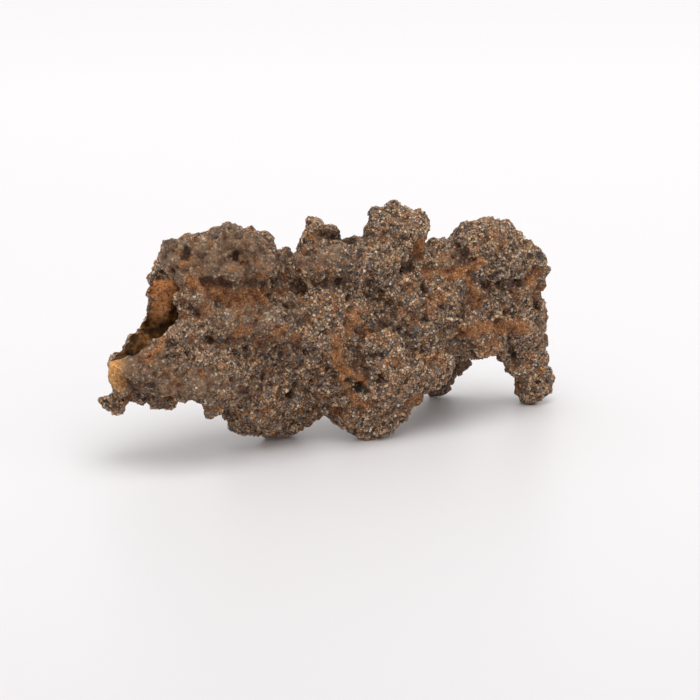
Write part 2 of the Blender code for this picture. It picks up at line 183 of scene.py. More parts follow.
# Grooves and ribs: a path of dots, then half width and depth, or height.
GROOVES = [
    ([(205, 283), (225, 284), (245, 285), (262, 283), (278, 281)], 0.6, 0.85),
    ([(270, 246), (276, 258), (278, 272)], 0.45, 0.5),
    ([(192, 293), (210, 297), (235, 301)], 0.5, 0.3),
    ([(280, 262), (292, 258), (297, 250)], 0.5, 0.45),
    ([(300, 286), (320, 283), (345, 283)], 0.55, 0.45),
    ([(185, 341), (200, 339), (215, 341)], 0.45, 0.4),
    ([(320, 234), (335, 237), (348, 238)], 0.5, 0.9),
    ([(420, 240), (418, 249), (419, 257)], 0.4, 0.7),
    ([(455, 243), (463, 254), (462, 263)], 0.55, 0.5),
    ([(428, 268), (450, 268), (468, 273)], 0.6, 0.35),
    ([(482, 286), (500, 284), (516, 284)], 0.5, 0.6),
    ([(520, 283), (532, 277), (543, 268)], 0.45, 0.6),
    ([(510, 345), (512, 352), (514, 362)], 0.35, 0.7),
    ([(440, 352), (450, 344), (456, 340)], 0.35, 0.35),
    ([(255, 410), (261, 415)], 0.25, 0.5),
    ([(245, 385), (243, 393), (250, 398)], 0.35, 0.5),
    ([(298, 385), (292, 393), (289, 399)], 0.35, 0.6),
    ([(345, 382), (352, 378), (361, 384)], 0.35, 0.4),
    ([(456, 352), (458, 365), (460, 378)], 0.30, 0.35),
    ([(512, 380), (525, 383), (545, 384)], 0.28, 0.45),
    ([(222, 400), (224, 410)], 0.4, 0.5),
    ([(345, 250), (352, 256), (360, 257)], 0.4, 0.35),
    ([(122, 384), (137, 387), (154, 388)], 0.7, 0.9),
    ([(300, 345), (315, 352), (322, 362)], 0.6, 0.3),
    ([(385, 325), (395, 332), (405, 336)], 0.5, 0.3),
]
RIBS = [
    ([(336, 345), (338, 358), (345, 368), (353, 375), (362, 380), (369, 380)], 0.30, 0.40),
    ([(338, 360), (341, 375), (346, 387), (353, 396), (357, 404)], 0.30, 0.32),
    ([(364, 314), (356, 322), (352, 331)], 0.55, 0.22),
    ([(430, 352), (437, 347), (445, 345), (450, 344)], 0.20, 0.28),
    ([(513, 346), (517, 353), (517, 362)], 0.18, 0.30),
    ([(126, 350), (137, 351), (148, 350), (157, 342), (163, 332)], 0.22, 0.30),
    ([(178, 300), (177, 289), (172, 281), (163, 276)], 0.25, 0.30),
    ([(300, 242), (315, 241), (330, 241), (340, 244)], 0.35, 0.35),
    ([(182, 246), (181, 256), (184, 262), (192, 262), (194, 254)], 0.22, 0.25),
    ([(296, 246), (298, 254), (297, 262)], 0.35, 0.30),
    ([(465, 327), (480, 324), (500, 323), (520, 325)], 0.5, 0.30),
    ([(470, 285), (477, 296), (478, 304)], 0.35, 0.22),
    ([(262, 262), (270, 267), (268, 276)], 0.35, 0.25),
    ([(430, 250), (445, 252), (458, 256)], 0.35, 0.2),
]

# Colour marks, given the same way: ochre silt, painted shade in deep holes, and pale and dark marks.
SILT_MARKS = [
    (190, 243, 0.5, 0.8), (184, 263, 0.6, 1.0), (195, 250, 0.45, 0.9), (178, 266, 0.4, 0.7), (180, 252, 0.35, 0.8),
    (190, 260, 0.45, 1.0), (205, 292, 0.7, 0.8), (178, 232, 0.4, 0.9), (245, 262, 0.6, 0.5), (232, 268, 0.5, 0.6),
    (210, 244, 0.4, 0.8), (240, 224, 0.5, 0.5), (253, 228, 0.7, 0.8), (180, 240, 0.4, 0.6), (262, 276, 1.0, 0.7),
    (257, 262, 0.7, 0.5), (250, 250, 0.4, 0.3), (272, 266, 0.6, 0.4), (205, 309, 0.7, 0.7), (227, 302, 0.8, 0.8),
    (238, 312, 0.7, 0.7), (255, 318, 0.8, 0.5), (265, 302, 0.7, 0.7), (243, 332, 1.2, 0.8), (258, 342, 0.7, 0.7),
    (235, 345, 0.7, 0.6), (280, 333, 1.1, 0.8), (296, 338, 0.9, 0.8), (270, 340, 0.7, 0.6), (192, 338, 0.5, 0.9),
    (196, 328, 0.5, 0.3), (184, 316, 0.5, 0.8), (181, 300, 0.5, 0.5), (190, 280, 0.9, 0.5), (200, 270, 0.8, 0.4),
    (222, 275, 0.7, 0.4), (302, 252, 0.6, 0.9), (313, 237, 0.3, 1.0), (318, 268, 0.7, 0.6), (300, 270, 0.6, 0.5),
    (283, 274, 0.7, 0.6), (372, 245, 0.7, 0.9), (376, 232, 0.5, 0.4), (420, 247, 0.7, 1.0), (420, 256, 0.6, 0.9),
    (435, 245, 0.8, 0.4), (445, 257, 0.9, 0.5), (433, 302, 1.0, 0.7), (430, 313, 0.9, 0.6), (415, 318, 0.8, 0.5),
    (442, 292, 0.7, 0.5), (427, 325, 0.6, 0.5), (476, 303, 0.7, 0.8), (485, 293, 0.6, 0.7), (510, 290, 0.5, 0.7),
    (484, 299, 0.5, 0.6), (527, 278, 0.7, 1.0), (537, 272, 0.7, 0.8), (535, 285, 0.9, 0.8), (545, 281, 0.5, 0.6),
    (504, 311, 0.5, 0.7), (492, 345, 1.4, 0.8), (500, 352, 0.7, 0.7), (478, 335, 0.9, 0.9), (530, 357, 0.8, 0.5),
    (541, 371, 0.6, 0.8), (514, 368, 0.5, 0.7), (517, 385, 0.6, 0.9), (530, 366, 0.7, 0.5), (545, 340, 1.2, 0.3),
    (356, 318, 1.1, 1.0), (365, 308, 0.8, 0.7), (352, 328, 0.9, 0.9), (366, 333, 0.8, 0.8), (376, 337, 0.6, 0.7),
    (345, 338, 0.6, 0.6), (433, 357, 0.6, 0.8), (443, 364, 0.6, 0.7), (418, 354, 0.5, 0.6), (418, 399, 1.0, 0.9),
    (421, 405, 0.5, 0.9), (335, 410, 0.9, 0.9), (268, 410, 0.8, 0.7), (300, 408, 0.8, 0.5), (262, 393, 0.4, 0.7),
    (236, 411, 0.7, 0.7), (250, 415, 0.5, 0.6), (352, 398, 0.8, 0.8), (366, 405, 0.7, 0.9), (360, 412, 0.5, 0.6),
    (385, 362, 0.6, 0.8), (395, 361, 0.5, 0.7), (322, 372, 1.0, 0.4), (305, 380, 0.6, 0.5), (325, 398, 0.7, 0.4),
    (200, 374, 0.6, 0.8), (190, 372, 0.5, 0.5), (148, 358, 0.9, 0.6), (160, 350, 0.7, 0.5), (168, 391, 0.6, 0.6),
    (174, 398, 0.6, 0.7), (165, 370, 0.5, 0.4), (380, 300, 0.8, 0.4), (400, 297, 0.7, 0.4), (348, 300, 0.8, 0.4),
    (395, 255, 0.7, 0.3), (410, 290, 0.6, 0.6), (130, 398, 0.5, 1.0), (118, 395, 0.5, 0.7), (118, 380, 0.5, 0.8),
    (148, 290, 0.5, 1.0), (300, 300, 0.7, 0.5), (312, 303, 0.6, 0.5), (410, 400, 0.7, 0.5), (404, 265, 0.5, 0.4),
    (425, 270, 0.6, 0.5), (500, 240, 2.2, 0.35), (490, 232, 0.6, 0.5), (502, 248, 0.7, 0.5), (475, 247, 0.6, 0.4),
    (419, 243, 0.6, 1.0), (417, 254, 0.5, 1.0), (534, 281, 0.9, 1.0), (540, 290, 0.8, 0.8), (452, 271, 0.8, 0.9),
    (468, 275, 0.6, 0.8), (440, 297, 0.8, 0.8), (404, 282, 0.6, 0.6),
]
# Painted shade in the deepest holes.
PAINTED_HOLE_SHADE_MARKS = [
    (187, 252, 0.45, 1.0), (185, 256, 0.35, 0.9), (361, 387, 0.45, 0.9), (291, 395, 0.4, 0.8), (245, 392, 0.4, 0.7),
    (212, 340, 0.4, 0.8), (424, 289, 0.35, 0.8), (513, 355, 0.4, 0.8), (463, 253, 0.4, 0.5), (340, 284, 0.35, 0.5),
    (221, 278, 0.25, 0.8), (249, 277, 0.25, 0.8), (178, 266, 0.25, 0.5), (538, 319, 0.3, 0.6), (420, 225, 0.25, 0.6),
    (168, 358, 0.2, 0.7), (441, 306, 0.25, 0.5), (522, 320, 0.2, 0.4), (366, 391, 0.3, 0.6), (347, 380, 0.3, 0.6),
]
SILT_LINES = [
    ([(192, 283), (212, 291), (230, 297), (248, 299), (266, 299)], 0.75, 0.9),
    ([(222, 290), (250, 290), (285, 292)], 0.5, 0.7),
    ([(426, 275), (442, 273), (458, 274), (470, 268), (479, 262)], 0.65, 0.95),
    ([(462, 331), (478, 328), (500, 327), (524, 328)], 0.75, 1.0),
    ([(336, 340), (338, 352), (337, 362), (346, 369), (354, 376), (364, 381)], 0.50, 1.1),
    ([(337, 366), (342, 378), (348, 388), (354, 397), (358, 405)], 0.42, 1.0),
    ([(470, 284), (475, 294), (478, 304)], 0.5, 0.7),
    ([(165, 325), (163, 340), (155, 352)], 0.6, 0.5),
    ([(421, 241), (419, 249), (420, 258)], 0.45, 1.3),
]
# Pale sand, and painted highlight on shelves, rims and bulge tops that face up.
PALE_SAND_AND_HIGHLIGHT_MARKS = [
    (170, 264, 1.4, 0.5), (212, 262, 2.6, 0.25), (230, 315, 1.8, 0.4), (205, 330, 1.2, 0.35), (160, 368, 1.6, 0.35),
    (180, 352, 1.5, 0.25), (195, 388, 1.6, 0.25), (290, 308, 1.2, 0.35), (313, 310, 1.6, 0.45), (332, 252, 1.3, 0.45),
    (228, 385, 1.5, 0.2), (412, 222, 2.0, 0.35), (436, 328, 1.2, 0.55), (392, 340, 1.1, 0.7), (470, 226, 1.3, 0.35),
    (330, 292, 1.0, 0.3), (400, 355, 2.4, 0.15), (150, 305, 0.7, 0.6), (150, 293, 0.5, 0.7), (147, 284, 0.5, 0.6),
    (152, 268, 0.7, 1.4), (146, 276, 0.5, 0.6), (313, 224, 1.8, 1.0), (328, 228, 1.2, 0.9), (410, 228, 2.6, 0.4),
    (480, 232, 2.4, 0.3), (245, 230, 1.2, 0.15), (400, 385, 2.0, 0.15), (375, 425, 1.8, 0.15), (195, 320, 1.0, 0.2),
    (270, 318, 1.2, 0.2), (487, 284, 0.4, 0.9), (420, 323, 0.4, 0.9), (512, 320, 0.25, 0.9), (267, 377, 0.3, 0.9),
    (274, 388, 0.35, 0.9), (430, 370, 1.4, 0.2), (525, 300, 1.6, 0.45), (490, 309, 2.4, 0.3), (528, 370, 1.6, 0.2),
    (535, 281, 1.2, 0.5), (465, 275, 1.0, 0.3), (530, 365, 3.0, 0.45), (535, 390, 2.2, 0.3), (375, 415, 3.2, 0.2),
    (265, 420, 3.4, 0.2), (320, 330, 4.0, 0.15),
]
# Dark sand, and painted shade under the bulges, along creases and in set-back recesses.
DARK_SAND_AND_SHADE_MARKS = [
    (187, 250, 0.5, 1.3), (185, 256, 0.45, 1.2), (170, 247, 0.9, 0.6), (235, 287, 1.0, 0.25), (255, 285, 1.1, 0.3),
    (275, 284, 1.0, 0.35), (208, 294, 0.6, 0.5), (194, 311, 1.0, 0.7), (262, 251, 0.6, 0.5), (243, 253, 0.7, 0.4),
    (278, 266, 0.8, 0.7), (290, 257, 0.9, 0.5), (305, 290, 1.2, 0.4), (342, 283, 0.8, 0.6), (362, 251, 0.9, 0.5),
    (385, 236, 1.0, 0.45), (412, 256, 0.8, 0.8), (428, 232, 1.2, 0.3), (376, 326, 1.2, 0.6), (392, 308, 1.3, 0.5),
    (412, 314, 0.8, 0.5), (360, 368, 1.3, 0.6), (362, 387, 0.8, 0.8), (285, 352, 2.4, 0.4), (308, 352, 1.2, 0.4),
    (245, 391, 0.9, 0.7), (291, 394, 0.6, 0.6), (460, 306, 1.5, 0.45), (475, 313, 0.9, 0.2), (520, 287, 0.9, 0.5),
    (502, 284, 0.9, 0.5), (464, 253, 0.9, 0.7), (469, 273, 0.5, 0.6), (495, 268, 2.2, 0.3), (455, 337, 0.8, 0.6),
    (347, 380, 0.6, 0.6), (513, 355, 0.6, 0.8), (330, 236, 1.2, 0.7), (350, 237, 1.0, 0.4), (455, 240, 1.0, 0.3),
    (540, 350, 1.4, 0.2), (172, 345, 0.8, 0.5), (210, 397, 0.9, 0.45), (158, 405, 1.4, 0.4), (120, 410, 1.2, 0.2),
    (445, 388, 1.8, 0.35), (460, 372, 1.2, 0.35), (465, 362, 1.2, 0.3), (520, 393, 1.2, 0.3), (240, 360, 1.0, 0.2),
    (265, 345, 1.0, 0.3), (388, 285, 1.4, 0.3), (145, 388, 1.2, 0.35), (155, 390, 1.2, 0.2), (425, 392, 1.2, 0.5),
    (140, 392, 1.2, 0.8), (222, 405, 0.8, 0.3), (128, 390, 0.9, 0.6), (150, 396, 0.9, 0.6), (225, 245, 3.0, 0.15),
    (262, 252, 2.4, 0.25), (300, 262, 2.2, 0.3), (335, 262, 2.6, 0.35), (365, 275, 2.0, 0.2), (280, 370, 3.0, 0.2),
    (505, 279, 1.8, 0.5), (485, 283, 0.9, 0.5), (419, 249, 0.7, 0.6),
]
# Where clay has run over the sand and hides its grains.
CLAY_MARKS = [
    (175, 262, 2.4, 0.9), (205, 262, 3.2, 0.9), (240, 255, 3.4, 0.9), (265, 268, 2.0, 0.8), (215, 300, 2.6, 0.7),
    (245, 315, 2.6, 0.6), (290, 310, 1.8, 0.6), (270, 320, 2.2, 0.5), (330, 252, 1.8, 0.7), (312, 262, 1.8, 0.6),
    (150, 362, 2.0, 0.9), (175, 385, 2.2, 0.9), (205, 388, 2.0, 0.85), (205, 410, 1.2, 0.8), (130, 365, 1.2, 0.8),
    (185, 325, 1.6, 0.3), (335, 340, 0.8, 0.5), (337, 352, 0.7, 0.9), (357, 318, 1.1, 0.8), (352, 329, 0.9, 0.7),
    (480, 331, 1.0, 0.5), (500, 327, 1.0, 0.5), (520, 328, 0.9, 0.4), (420, 250, 0.8, 0.7), (450, 265, 1.2, 0.4),
    (530, 280, 0.9, 0.5), (450, 388, 1.6, 0.5), (318, 238, 0.7, 0.4), (145, 392, 1.4, 0.5), (112, 372, 1.5, 0.9),
    (540, 330, 1.5, 0.3), (232, 385, 1.8, 0.35), (225, 235, 2.2, 0.5),
]
CLAY_LINES = [
    ([(421, 241), (419, 249), (420, 258)], 0.45, 1.0),
    ([(337, 345), (338, 360), (346, 369), (356, 377), (366, 381)], 0.45, 1.0),
    ([(338, 366), (343, 380), (350, 391), (356, 402)], 0.35, 1.0),
    ([(462, 331), (480, 328), (500, 327), (524, 328)], 0.7, 0.35),
]
# Honey-coloured glass on the broken lip, and ochre dust on the hollow's rear wall, its pale colour partly painted
# light.
AMBER_MARKS = [
    (106, 372, 1.0, 0.8), (110, 368, 1.3, 0.8), (114, 380, 1.2, 0.8), (112, 360, 1.0, 0.7), (128, 355, 0.45, 0.6),
    (120, 366, 0.8, 0.4),
]
DUST_AND_PAINTED_LIGHT_MARKS = [
    (162, 288, 1.9, 1.0), (160, 300, 1.5, 1.0), (168, 294, 1.2, 0.9), (155, 280, 1.2, 0.9), (162, 311, 0.9, 0.5),
    (156, 314, 0.7, 0.3), (145, 338, 0.5, 0.3), (150, 342, 0.4, 0.3),
]
# The hollow's wall below the mouth, and the beaded edge of its rear wall.
GLASS_MARKS = [
    (142, 337, 1.0, 1.0), (136, 343, 0.8, 1.0), (130, 347, 0.5, 0.9), (151, 330, 1.0, 1.0), (158, 322, 1.2, 1.0),
    (150, 340, 0.9, 1.0), (162, 327, 0.9, 1.0), (146, 346, 0.5, 1.0),
]
EDGE_MARKS = [
    (151, 268, 0.5, 1.0), (148, 275, 0.5, 1.0), (147, 283, 0.5, 1.0), (148, 291, 0.45, 1.0), (149, 300, 0.5, 1.0),
    (148, 308, 0.5, 1.0), (142, 318, 0.5, 0.9), (133, 328, 0.5, 0.9), (122, 340, 0.5, 0.9),
]


def colour(text):
    """An sRGB hex value as the linear numbers that a shader takes."""
    parts = [int(text[i : i + 2], 16) / 255 for i in (1, 3, 5)]
    return tuple([p / 12.92 if p <= 0.04045 else ((p + 0.055) / 1.055) ** 2.4 for p in parts] + [1.0])


def add(tree, kind, inputs=None, stops=None, **settings):
    """A node with its settings; each input is a value, the socket that feeds it, or a node whose first socket does.

    A kind without a family name in front is a ShaderNode.
    """
    family = "" if kind.startswith(("Geometry", "Function", "NodeGroup")) else "ShaderNode"
    node = tree.nodes.new(family + kind)
    for name, value in settings.items():
        setattr(node, name, value)
    for name, value in (inputs or {}).items():
        if isinstance(value, bpy.types.Node):
            value = value.outputs[0]
        if isinstance(value, bpy.types.NodeSocket):
            tree.links.new(value, node.inputs[name])
        else:
            node.inputs[name].default_value = value
    if stops:
        marks = node.color_ramp.elements
        while len(marks) < len(stops):
            marks.new(0.5)
        for mark, (place, shade) in zip(marks, stops):
            mark.position = place
            mark.color = colour(shade)
    return node


def new_object(name, content):
    item = bpy.data.objects.new(name, content)
    bpy.context.scene.collection.objects.link(item)
    return item


def settled(item, name):
    """A plain mesh object with the shape that item has after its modifiers."""
    bpy.context.view_layer.update()
    mesh = bpy.data.meshes.new_from_object(item.evaluated_get(bpy.context.evaluated_depsgraph_get()))
    mesh.name = name
    bpy.data.objects.remove(item, do_unlink=True)
    return new_object(name, mesh)


# ---------------------------------------------------------------- the skin


def merged_copy(node, name):
    shape = bmesh.new()
    shape.from_mesh(node.data)
    bmesh.ops.remove_doubles(shape, verts=shape.verts, dist=1e-6)
    mesh = bpy.data.meshes.new(name)
    shape.to_mesh(mesh)
    shape.free()
    return new_object(name, mesh)


def remeshed(item, name, grain, easing, faces=None):
    """The same shape as one even closed skin, with its creases eased, and its flatter places in fewer faces."""
    melt = item.modifiers.new("melt", "REMESH")
    melt.mode = "VOXEL"
    melt.voxel_size = grain * MM
    soft = item.modifiers.new("soft", "SMOOTH")
    soft.iterations = easing
    item = settled(item, name)
    if faces:
        thin = item.modifiers.new("thin", "DECIMATE")
        thin.ratio = min(1.0, faces / (2 * len(item.data.polygons)))
        item = settled(item, name)
    drop_crumbs(item.data)
    return item


def drop_crumbs(mesh):
    """Keeps the largest connected part of a mesh and drops the loose specks beside it."""
    shape = bmesh.new()
    shape.from_mesh(mesh)
    left = set(shape.verts)
    parts = []
    while left:
        part = [left.pop()]
        for corner in part:
            for edge in corner.link_edges:
                other = edge.other_vert(corner)
                if other in left:
                    left.remove(other)
                    part.append(other)
        parts.append(part)
    parts.sort(key=len)
    bmesh.ops.delete(shape, geom=[corner for part in parts[:-1] for corner in part], context="VERTS")
    shape.to_mesh(mesh)
    shape.free()


def places(mesh):
    """The points of a mesh in millimetres."""
    flat = np.empty(len(mesh.vertices) * 3)
    mesh.vertices.foreach_get("co", flat)
    return flat.reshape(-1, 3) / MM


def set_places(mesh, points):
    mesh.vertices.foreach_set("co", (points * MM).ravel())
    mesh.update()


def facings(mesh):
    flat = np.empty(len(mesh.vertices) * 3)
    mesh.vertex_normals.foreach_get("vector", flat)
    return flat.reshape(-1, 3)


def view_frame():
    """Which ways are right, up and back for the camera."""
    turn, rise = math.radians(TURN), math.radians(RISE)
    back = Vector((math.sin(turn) * math.cos(rise), -math.cos(turn) * math.cos(rise), math.sin(rise)))
    right = Vector((math.cos(turn), math.sin(turn), 0.0))
    return right, back.cross(right), back


class Front:
    """The side of the solid that the camera faces, where marks are placed by their dots in its view."""

    def __init__(self, solid):
        points = [tuple(v.co / MM) for v in solid.data.vertices]
        faces = [tuple(p.vertices) for p in solid.data.polygons]
        self.tree = BVHTree.FromPolygons(points, faces)
        self.right, self.up, self.back = view_frame()
        self.stand = AIM + self.back * AWAY

    def behind(self, across, down):
        """The point of the solid behind a dot, or None past its edge."""
        reach = VIEW_DOTS * LENS / SENSOR
        half = VIEW_DOTS / 2
        ray = self.right * ((across - half) / reach) - self.up * ((down - half) / reach) - self.back
        return self.tree.ray_cast(self.stand, ray.normalized())[0]

    def at(self, across, down):
        """The point of the solid behind a dot; a dot just off its edge takes the nearest dot that is on it."""
        rings, steps, gap = 40, 24, 0.5
        for ring in range(rings):
            for step in range(steps if ring else 1):
                turn = math.tau * step / steps
                hit = self.behind(across + gap * ring * math.cos(turn), down + gap * ring * math.sin(turn))
                if hit is not None:
                    return hit
        raise ValueError(f"no surface near dot {across}, {down}")

    def spots(self, marks):
        return [(*self.at(across, down), radius, amount) for across, down, radius, amount in marks]

    def paths(self, lines):
        return [([self.at(*dot) for dot in dots], width, amount) for dots, width, amount in lines]


def away_from(points, x, y, z, radius):
    """The square of each point's distance to the middle of a spot, in radii."""
    return ((points - (x, y, z)) ** 2).sum(1) / radius**2


def spread(points, spots, steep_below=0.0):
    """How much of a set of soft round spots each point gets; a spot is x, y, z, radius and amount.

    A spot narrower than steep_below has a flat floor and steep walls.
    """
    total = np.zeros(len(points))
    for x, y, z, radius, amount in spots:
        away = away_from(points, x, y, z, radius)
        total += amount * np.exp(-(away**2 if radius < steep_below else away))
    return total


def covered(points, spots, paths=()):
    """Like spread, but spots and paths that overlap don't add up past the strongest."""
    most = np.zeros(len(points))
    for *spot, amount in spots:
        most = np.maximum(most, amount * np.exp(-0.8 * away_from(points, *spot) ** 1.5))
    for path, width, amount in paths:
        away = (distance_to(points, path) / width) ** 2
        most = np.maximum(most, amount * np.exp(-0.8 * away**1.5))
    return most


def distance_to(points, path):
    """Each point's distance to a path of straight steps."""
    nearest = np.full(len(points), 1e9)
    for start, end in zip(path, path[1:]):
        start, step = np.array(start), np.array(end - start)
        share = ((points - start) @ step / max(step @ step, 1e-9)).clip(0, 1)
        nearest = np.minimum(nearest, np.linalg.norm(points - start - share[:, None] * step, axis=1))
    return nearest


def along(points, paths):
    """How much of a set of soft paths each point gets; a path is its points, half width and amount."""
    total = np.zeros(len(points))
    for path, width, amount in paths:
        total += amount * np.exp(-((distance_to(points, path) / width) ** 2))
    return total


def wander(points, spacing, seed, octaves=3):
    """A smooth wandering field of about -1 to 1."""
    start = Vector((3.7 * seed, 1.9 * seed, 5.3 * seed))
    return np.array([noise.fractal(Vector(p) / spacing + start, 0.9, 2.1, octaves) for p in points])


def cells(points, spacing, seed):
    """The distance to the nearest of a scatter of seeds, as a share of their spacing."""
    start = Vector((2.3 * seed, 4.1 * seed, 1.7 * seed))
    return np.array([noise.voronoi(Vector(p) / spacing + start)[0][0] for p in points])


def bent(points, spacing, reach, seed):
    """The points moved about by a smooth field, so that patterns on them lose their even look."""
    start = Vector((6.1 * seed, 2.7 * seed, 3.3 * seed))
    return points + reach * np.array([noise.noise_vector(Vector(p) / spacing + start) for p in points])


def rounded_lumps(points, spacing, seed):
    """Lumps of all sizes that crowd each other, with creases between them that come and go, from -0.5 to 0.5."""
    start = Vector((2.3 * seed, 4.1 * seed, 1.7 * seed))
    moved = bent(points, spacing * 1.3, spacing * 0.5, seed) / spacing
    near = np.array([noise.voronoi(Vector(p) + start)[0][:2] for p in moved])
    # Round tops, and creases 0.28 of a lump wide that run deep only in places.
    dome = 0.5 - np.clip(near[:, 0], 0, 1.1) ** 1.5
    crease = np.clip((near[:, 1] - near[:, 0]) / 0.28, 0, 1)
    deep = np.clip(0.45 + 0.8 * wander(points, spacing * 2.2, seed + 20, 2), 0, 1)
    return 0.75 * dome - 0.55 * deep * (1 - crease) ** 2


def pores(points, spacing, radius, seed):
    """Small round holes of one radius, one to each cell of a scatter."""
    away = cells(bent(points, 3.0, 0.8, seed), spacing, seed) * spacing
    return np.exp(-((away / radius) ** 2))


def lined(points, normals):
    """1 on the glassy lining of the hollow and 0 on the crust.

    The lining is what faces inwards, in the tube up to 0.9 mm past its radius and in the scoop up to 1.28 radii.
    """
    stations = np.array(HOLLOW)
    middle = np.stack([np.interp(points[:, 0], stations[:, 0], stations[:, i]) for i in (1, 2)], 1)
    radius = np.interp(points[:, 0], stations[:, 0], stations[:, 3])
    across = points[:, 1:] - middle
    away = np.linalg.norm(across, axis=1)
    inward = -(normals[:, 1:] * across).sum(1) / np.maximum(away, 1e-6)
    tube = np.clip((radius + 0.9 - away) / 0.5, 0, 1) * np.clip(inward * 2.2, 0, 1)
    centre, half = (np.array(v) for v in MOUTH_SCOOP)
    out = (points - centre) / half
    size = np.linalg.norm(out, axis=1)
    facing = -(normals * out).sum(1) / np.maximum(size, 1e-6)
    scoop = np.clip((1.28 - size) / 0.2, 0, 1) * np.clip(facing * 2.0, 0, 1)
    return np.maximum(tube, scoop)


def sunken(skin):
    """How far each point lies below the smoothed skin, in millimetres."""
    copy = new_object("smoothed", skin.data.copy())
    soft = copy.modifiers.new("soft", "SMOOTH")
    soft.iterations = HOLLOW_EASING
    smooth = settled(copy, "smoothed")
    depth = ((places(smooth.data) - places(skin.data)) * facings(skin.data)).sum(1)
    bpy.data.objects.remove(smooth, do_unlink=True)
    return depth


def store(mesh, name, values):
    """Keeps one measure for each point of a mesh. Only the tone goes past -1, where deep holes are painted in shade."""
    layer = mesh.attributes.new(name, "FLOAT", "POINT")
    layer.data.foreach_set("value", np.clip(values, -1.6, 1).astype(np.float32))


def kept_inside(points, low, high, easing=0.35):
    """The points pressed back softly where they pass the solid's box, and kept above the table."""
    for axis in range(3):
        over = np.clip(points[:, axis] - (high[axis] - easing), 0, None)
        points[:, axis] -= over - easing * np.tanh(over / easing)
        under = np.clip(low[axis] + easing - points[:, axis], 0, None)
        if axis < 2:
            points[:, axis] += under - easing * np.tanh(under / easing)
    points[:, 2] = np.maximum(points[:, 2], FLOOR_GAP)
    return points


def raised(mesh, relief, low, high):
    """Moves the skin out along its facing by the relief, but leaves the lowest 0.1 mm of its feet flat."""
    points = places(mesh)
    worn = np.clip((points[:, 2] - 0.1) / 0.8, 0, 1)
    set_places(mesh, kept_inside(points + facings(mesh) * (relief * worn)[:, None], low, high))


def ragged(marks, points, spacing, seed):
    """Soft marks with the torn edges and thin places of real dirt: what is below 0.22 is gone, and the rest is firm."""
    torn = marks + 0.42 * wander(points, spacing, seed, 3) * np.clip(marks * 3, 0, 1) - 0.22
    return np.clip(torn / 0.22, 0, 1) * np.clip(0.35 + marks, 0, 1)


def at_back(points):
    """0 on the front half and 1 on the side away from the camera."""
    return np.clip((points[:, 1] - 0.5) / 2.5, 0, 1)


def glass_cover(points, normals, front, strength=1.0):
    """How glassy each place is: the hollow, and its wall where it lies open below the mouth."""
    lining = np.maximum(lined(points, normals), strength * covered(points, front.spots(GLASS_MARKS))).clip(0, 1)
    return lining * (1 - covered(points, front.spots(EDGE_MARKS)))


def clay_cover(points, front):
    """How thick the clay lies: the marks on the front, and wandering patches on the back."""
    patches = np.clip(2.0 * wander(points, 4.0, 31, 2) - 0.1, 0, 0.9) * at_back(points)
    return np.maximum(covered(points, front.spots(CLAY_MARKS), front.paths(CLAY_LINES)), patches)


def shape_skin(skin, front, low, high):
    """Gives the skin its wandering form: clods, nodules and pores, then the marked pits, grooves, lumps and ribs."""
    points = places(skin.data)
    lining = glass_cover(points, facings(skin.data), front)
    clay = clay_cover(points, front)
    relief = CLOD_HEIGHT * rounded_lumps(points, CLOD_SPACING, 1)
    relief += (1 + CLAY_SWELL * clay) * NODULE_HEIGHT * rounded_lumps(points, NODULE_SPACING, 2)
    relief -= PORE_DEPTH * pores(points, PORE_SPACING, PORE_RADIUS, 9)
    relief -= PINHOLE_DEPTH * pores(points, PINHOLE_SPACING, PINHOLE_RADIUS, 29)
    relief *= 1 - lining
    relief -= GRAIN_BED + spread(points, front.spots(TRIMS))
    relief -= PIT_DEPTH * carving(points, front)
    relief += spread(points, front.spots(LUMPS)) + along(points, front.paths(RIBS))
    raised(skin.data, relief, low, high)
    points = places(skin.data)
    points[:, 2] += spread(points, front.spots(LIFTS)) * np.clip(1 - points[:, 2] / 2.5, 0, 1)
    set_places(skin.data, points)


def carving(points, front):
    return spread(points, front.spots(PITS), STEEP_BELOW) + along(points, front.paths(GROOVES))


def fine_relief(points, lining, clay):
    """Crumbs on the crust, swirls and pores in the clay, and burst bubbles in the glass."""
    relief = (1 - lining) * CRUMB_HEIGHT * (1 - CLAY_SWELL * clay) * rounded_lumps(points, CRUMB_SPACING, 4)
    swirl = bent(bent(points, 1.5, 0.6, 21), 0.5, 0.15, 22)
    fold = SWIRL_HEIGHT * wander(swirl, SWIRL_SPACING, 23, 3)
    relief += (1 - lining) * clay * (fold - CLAY_PORE_DEPTH * pores(swirl, CLAY_PORE_SPACING, CLAY_PORE_RADIUS, 24))
    return relief - lining * BUBBLE_DEPTH * np.clip(1 - 2.0 * cells(points, BUBBLE_SPACING, 3), 0, 1)


